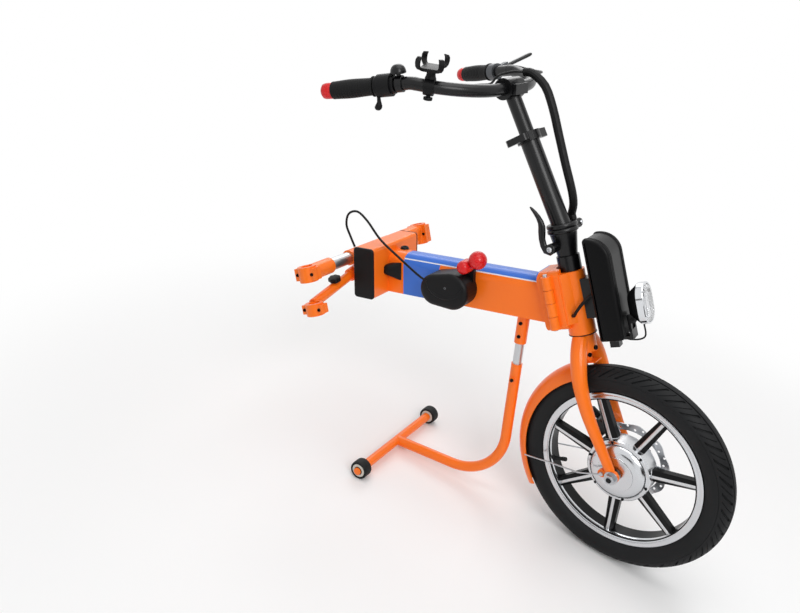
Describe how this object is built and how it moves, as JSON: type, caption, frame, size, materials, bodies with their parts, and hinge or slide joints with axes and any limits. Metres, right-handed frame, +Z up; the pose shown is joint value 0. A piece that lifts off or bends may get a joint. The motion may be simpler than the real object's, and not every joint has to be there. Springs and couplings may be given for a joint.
{
  "type": "wheelchair power assist",
  "caption": "Front-wheel drive unit that clips to a manual wheelchair: hub-motor wheel, fork, battery, folding handlepost, swept bar, stand and docking clamps.",
  "frame": {"origin": "on the floor under the front axle, in the unit's middle plane", "axes": "+X forward, +Y to the rider's left, +Z up, unit parked on its wheel and stand"},
  "size_m": [0.8731, 0.5023, 0.8746],
  "materials": {
    "orange_paint": "gloss",
    "tyre_rubber": "matt",
    "silver_paint": "satin",
    "bright_steel": "satin",
    "magnet": "plain",
    "copper": "wound",
    "black_metal": "satin",
    "black_plastic": "matt",
    "cable_black": "matt",
    "grip_rubber": "matt",
    "red_plastic": "gloss",
    "bare_aluminium": "satin",
    "cell_wrap": "gloss",
    "lens": "clear"
  },
  "bodies": {
    "frame": {"main_beam": "orange_paint", "motor_controller": "bare_aluminium", "dock_box": "orange_paint", "dock_trim": "black_plastic", "lock_cover": "black_plastic", "release_cable": "cable_black", "cross_tube": "bare_aluminium", "left_clamp_arm": "orange_paint", "stand_inner_tube": "bare_aluminium", "frame_hinge_pin": "bright_steel"},
    "right_arm": {"right_sleeve": "orange_paint"},
    "brace": {"lower_brace": "orange_paint"},
    "release": {"release_lever": "red_plastic"},
    "stand": {"stand_leg": "orange_paint"},
    "stand_button": {"stand_button": "bright_steel"},
    "roller_right": {"roller_right": "grip_rubber"},
    "roller_left": {"roller_left": "grip_rubber"},
    "head": {"head_tube": "orange_paint", "headset_bearings": "bright_steel", "battery_bracket": "black_metal", "battery_case": "black_plastic", "battery_front": "black_plastic", "battery_cells": "cell_wrap", "head_leads": "cable_black"},
    "frame_latch": {"frame_latch": "black_metal"},
    "lamp": {"lamp_housing": "black_plastic", "lamp_lens": "lens"},
    "steering": {"fork": "orange_paint", "stem_base": "black_metal", "fender": "orange_paint", "fender_stays": "bright_steel", "motor_axle": "bright_steel", "motor_stator": "copper", "axle_nuts": "bright_steel", "brake_caliper": "black_metal", "brake_cable": "cable_black"},
    "wheel": {"tyre": "tyre_rubber", "rim": "silver_paint", "hub_cover_right": "silver_paint", "hub_cover_left": "silver_paint", "magnet_ring": "magnet", "brake_disc": "bright_steel", "wheel_bearings": "bright_steel"},
    "caliper_arm": {"caliper_arm": "black_metal"},
    "post": {"lower_post": "black_metal", "post_collar": "black_metal", "cable_loom": "cable_black"},
    "stem_latch": {"stem_latch": "black_metal"},
    "post_lever": {"post_lever": "black_metal"},
    "bar": {"stem_quill": "black_metal", "handlebar": "black_metal", "grips": "grip_rubber", "bar_plugs": "red_plastic", "throttle_body": "black_plastic", "bell": "black_plastic", "phone_holder": "black_plastic", "lever_bracket": "bare_aluminium", "bar_cables": "cable_black"},
    "brake_lever": {"brake_lever": "black_metal"},
    "throttle": {"throttle_paddle": "black_plastic"}
  },
  "joints": [
    {"name": "wheel_spin", "type": "hinge", "parent": "steering", "child": "wheel", "pos_m": [-0.0002, -0.00339, 0.2059], "axis": [0.1176, 0.9914, 0.0566], "continuous": true},
    {"name": "steering_turn", "type": "hinge", "parent": "head", "child": "steering", "pos_m": [-0.02666, 0, 0.20144], "axis": [0.4336, 0, -0.9011], "range_deg": [-52.5, 37.5]},
    {"name": "stem_fold", "type": "hinge", "parent": "steering", "child": "post", "pos_m": [-0.22221, 0.03668, 0.61894], "axis": [-0.8934, 0.1305, -0.4299], "range_deg": [0, 110]},
    {"name": "stem_latch_turn", "type": "hinge", "parent": "steering", "child": "stem_latch", "pos_m": [-0.2207, 0.00104, 0.58638], "axis": [-0.1176, -0.9914, -0.0566], "range_deg": [0, 60]},
    {"name": "post_slide", "type": "slide", "parent": "post", "child": "bar", "axis": [-0.592, 0.0242, 0.8056], "range_m": [-0.04, 0.05], "deforming": ["cable_loom"]},
    {"name": "post_lever_turn", "type": "hinge", "parent": "post", "child": "post_lever", "pos_m": [-0.32223, -0.03309, 0.76105], "axis": [-0.592, 0.0242, 0.8056], "range_deg": [0, 90]},
    {"name": "brake_lever_pull", "type": "hinge", "parent": "bar", "child": "brake_lever", "pos_m": [-0.49906, 0.21937, 0.83903], "axis": [-0.3753, -0.2869, 0.8814], "range_deg": [0, 25], "stiffness_Nm_per_rad": 0.6},
    {"name": "caliper_pull", "type": "hinge", "parent": "steering", "child": "caliper_arm", "pos_m": [-0.07048, 0.00267, 0.24572], "axis": [-0.1176, -0.9914, -0.0566], "range_deg": [0, 20]},
    {"name": "throttle_push", "type": "hinge", "parent": "bar", "child": "throttle", "pos_m": [-0.50791, -0.14328, 0.82068], "axis": [-0.947, -0.1722, -0.2711], "range_deg": [0, 40], "stiffness_Nm_per_rad": 0.15},
    {"name": "frame_fold", "type": "hinge", "parent": "frame", "child": "head", "pos_m": [-0.18468, -0.046, 0.45833], "axis": [0.4336, 0, -0.9011], "range_deg": [0, 110]},
    {"name": "frame_latch_turn", "type": "hinge", "parent": "head", "child": "frame_latch", "pos_m": [-0.19215, 0, 0.49691], "axis": [0, 1, 0], "range_deg": [0, 90]},
    {"name": "lamp_tilt", "type": "hinge", "parent": "head", "child": "lamp", "pos_m": [-0.0597, 0, 0.50072], "axis": [0, 1, 0], "range_deg": [-8, 10]},
    {"name": "release_turn", "type": "hinge", "parent": "frame", "child": "release", "pos_m": [-0.37543, 0, 0.50321], "axis": [0, -1, 0], "range_deg": [0, 70]},
    {"name": "stand_slide", "type": "slide", "parent": "frame", "child": "stand", "axis": [0.0802, 0, -0.9968], "range_m": [0, 0.08]},
    {"name": "button_press", "type": "slide", "parent": "stand", "child": "stand_button", "axis": [0, 1, 0], "range_m": [0, 0.002], "stiffness_N_per_m": 400},
    {"name": "roller_right_spin", "type": "hinge", "parent": "stand", "child": "roller_right", "pos_m": [-0.48406, 0, 0.02], "axis": [0, 1, 0], "continuous": true},
    {"name": "roller_left_spin", "type": "hinge", "parent": "stand", "child": "roller_left", "pos_m": [-0.48406, 0, 0.02], "axis": [0, 1, 0], "continuous": true},
    {"name": "right_arm_slide", "type": "slide", "parent": "frame", "child": "right_arm", "axis": [0, -1, 0], "range_m": [0, 0.04]},
    {"name": "brace_slide", "type": "slide", "parent": "frame", "child": "brace", "axis": [0.0356, -0.9774, -0.2083], "range_m": [0, 0.041]}
  ],
  "couplings": [
    {"joint": "caliper_pull", "follows": "brake_lever_pull", "ratio": 0.7},
    {"joint": "brace_slide", "follows": "right_arm_slide", "ratio": 1.0231}
  ]
}
